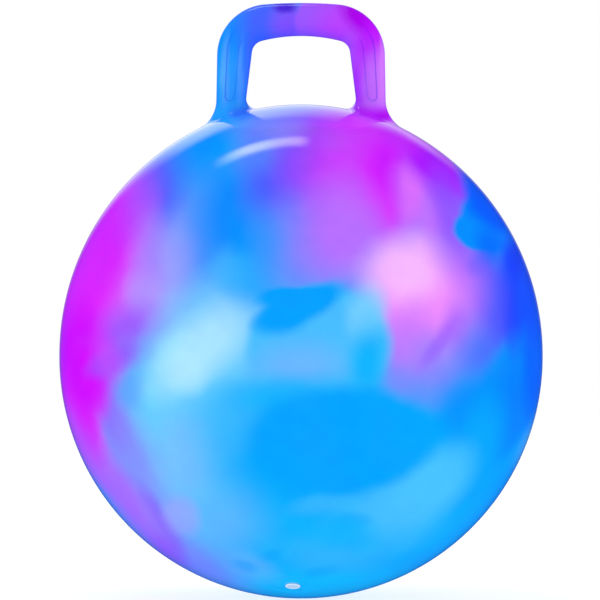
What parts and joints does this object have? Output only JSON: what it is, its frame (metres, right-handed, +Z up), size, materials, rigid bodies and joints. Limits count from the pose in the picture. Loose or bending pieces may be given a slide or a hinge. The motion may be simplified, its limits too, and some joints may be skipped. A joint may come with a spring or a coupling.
{
  "type": "hopper ball",
  "caption": "Blown-up vinyl hopper ball with a moulded loop handle on top and a plugged air valve near its base.",
  "frame": {"origin": "centre of the flat that the ball rests on, at floor level, on the ball's axis", "axes": "+Z up along the ball's axis to the handle, +X along the handle's bar to the picture's right, -Y to the front, where the valve is"},
  "size_m": [0.4499, 0.45, 0.5537],
  "materials": {
    "ball_vinyl": "glossy marbled vinyl",
    "handle_vinyl": "glossy marbled vinyl",
    "valve_white": "satin white plastic",
    "plug_white": "satin translucent white plastic"
  },
  "bodies": {
    "ball": {"ball_shell": "ball_vinyl", "handle_loop": "handle_vinyl", "valve_boss": "ball_vinyl", "valve_sleeve": "valve_white"},
    "plug": {"air_plug": "plug_white"}
  },
  "joints": [
    {"name": "plug_pull", "type": "slide", "parent": "ball", "child": "plug", "axis": [-0.0334, -0.3812, -0.9239], "range_m": [0, 0.0115]}
  ]
}
